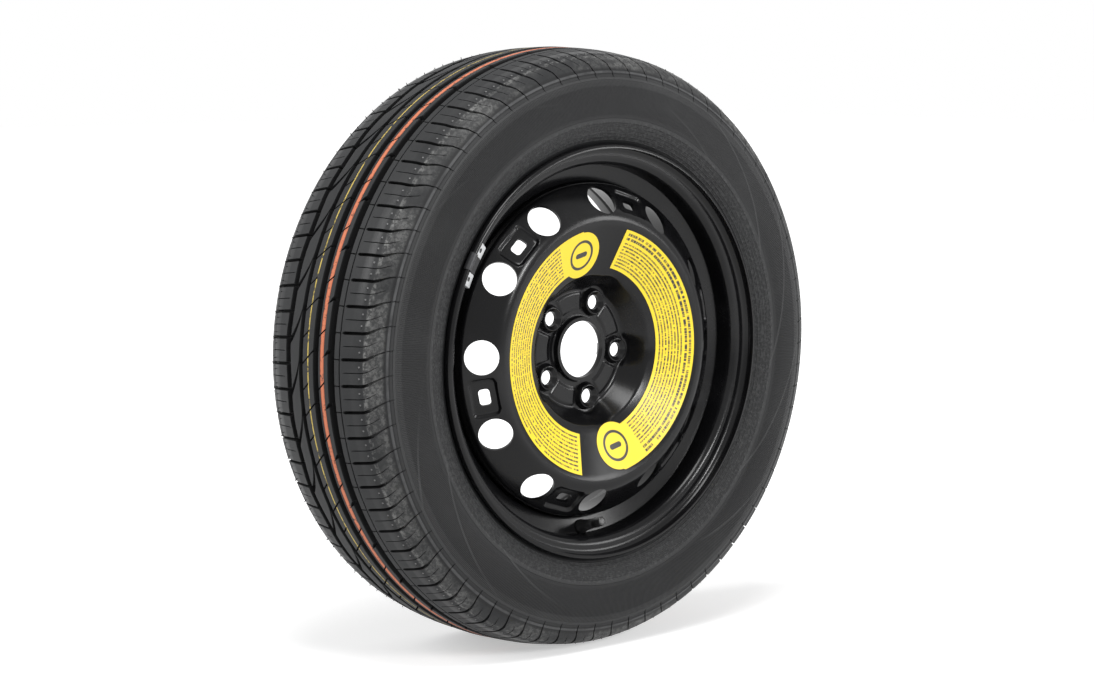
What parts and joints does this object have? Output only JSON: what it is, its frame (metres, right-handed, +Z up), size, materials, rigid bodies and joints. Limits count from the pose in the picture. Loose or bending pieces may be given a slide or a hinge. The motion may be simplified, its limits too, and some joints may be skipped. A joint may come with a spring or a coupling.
{
  "type": "road wheel with tyre",
  "caption": "Spare road wheel: pressed steel disc and drop-centre rim with a radial tyre, snap-in valve, clip-on balance weight and two yellow speed labels.",
  "frame": {"origin": "the wheel's centre, on the axle line midway between the two side walls", "axes": "the axle runs along Y; the outer face, with the labels, looks towards -Y and +Z is up when the wheel stands"},
  "size_m": [0.606, 0.187, 0.604],
  "materials": {
    "tyre": "matte moulded tread rubber",
    "rim": "gloss black paint",
    "disc": "gloss black paint",
    "label_left": "yellow printed film",
    "label_right": "yellow printed film",
    "weight_body": "light grey coated zinc",
    "weight_clip": "dull spring steel",
    "valve_rubber": "satin black rubber",
    "valve_stem": "turned brass",
    "core_plug": "turned brass",
    "core_barrel": "turned brass",
    "core_gasket": "red-brown seal",
    "core_pin": "drawn brass wire",
    "core_seal": "black rubber",
    "core_spring": "bright spring wire",
    "valve_cap": "satin black plastic",
    "cap_seal": "black rubber"
  },
  "bodies": {
    "wheel": {"tyre": "tyre", "rim": "rim", "disc": "disc", "label_left": "label_left", "label_right": "label_right", "weight_body": "weight_body", "weight_clip": "weight_clip", "valve_rubber": "valve_rubber", "valve_stem": "valve_stem", "core_plug": "core_plug", "core_barrel": "core_barrel", "core_gasket": "core_gasket", "core_spring": "core_spring"},
    "core_poppet": {"core_pin": "core_pin", "core_seal": "core_seal"},
    "cap_lift": {"cap_seal": "cap_seal"},
    "cap": {"valve_cap": "valve_cap"}
  },
  "joints": [
    {"name": "core_push", "type": "slide", "parent": "wheel", "child": "core_poppet", "axis": [-0.0077, 0.9563, -0.2923], "range_m": [0, 0.0012], "stiffness_N_per_m": 600, "springref_m": -0.001, "deforming": ["core_spring"]},
    {"name": "cap_lift", "type": "slide", "parent": "wheel", "child": "cap_lift", "axis": [0.0077, -0.9563, 0.2923], "range_m": [0, 0.00476]},
    {"name": "cap_turn", "type": "hinge", "parent": "cap_lift", "child": "cap", "pos_m": [-0.00452, -0.07632, -0.17257], "axis": [0.0077, -0.9563, 0.2923], "range_deg": [0, 2160.5]}
  ],
  "couplings": [
    {"joint": "cap_turn", "follows": "cap_lift", "rad_per_m": 7913.3}
  ]
}
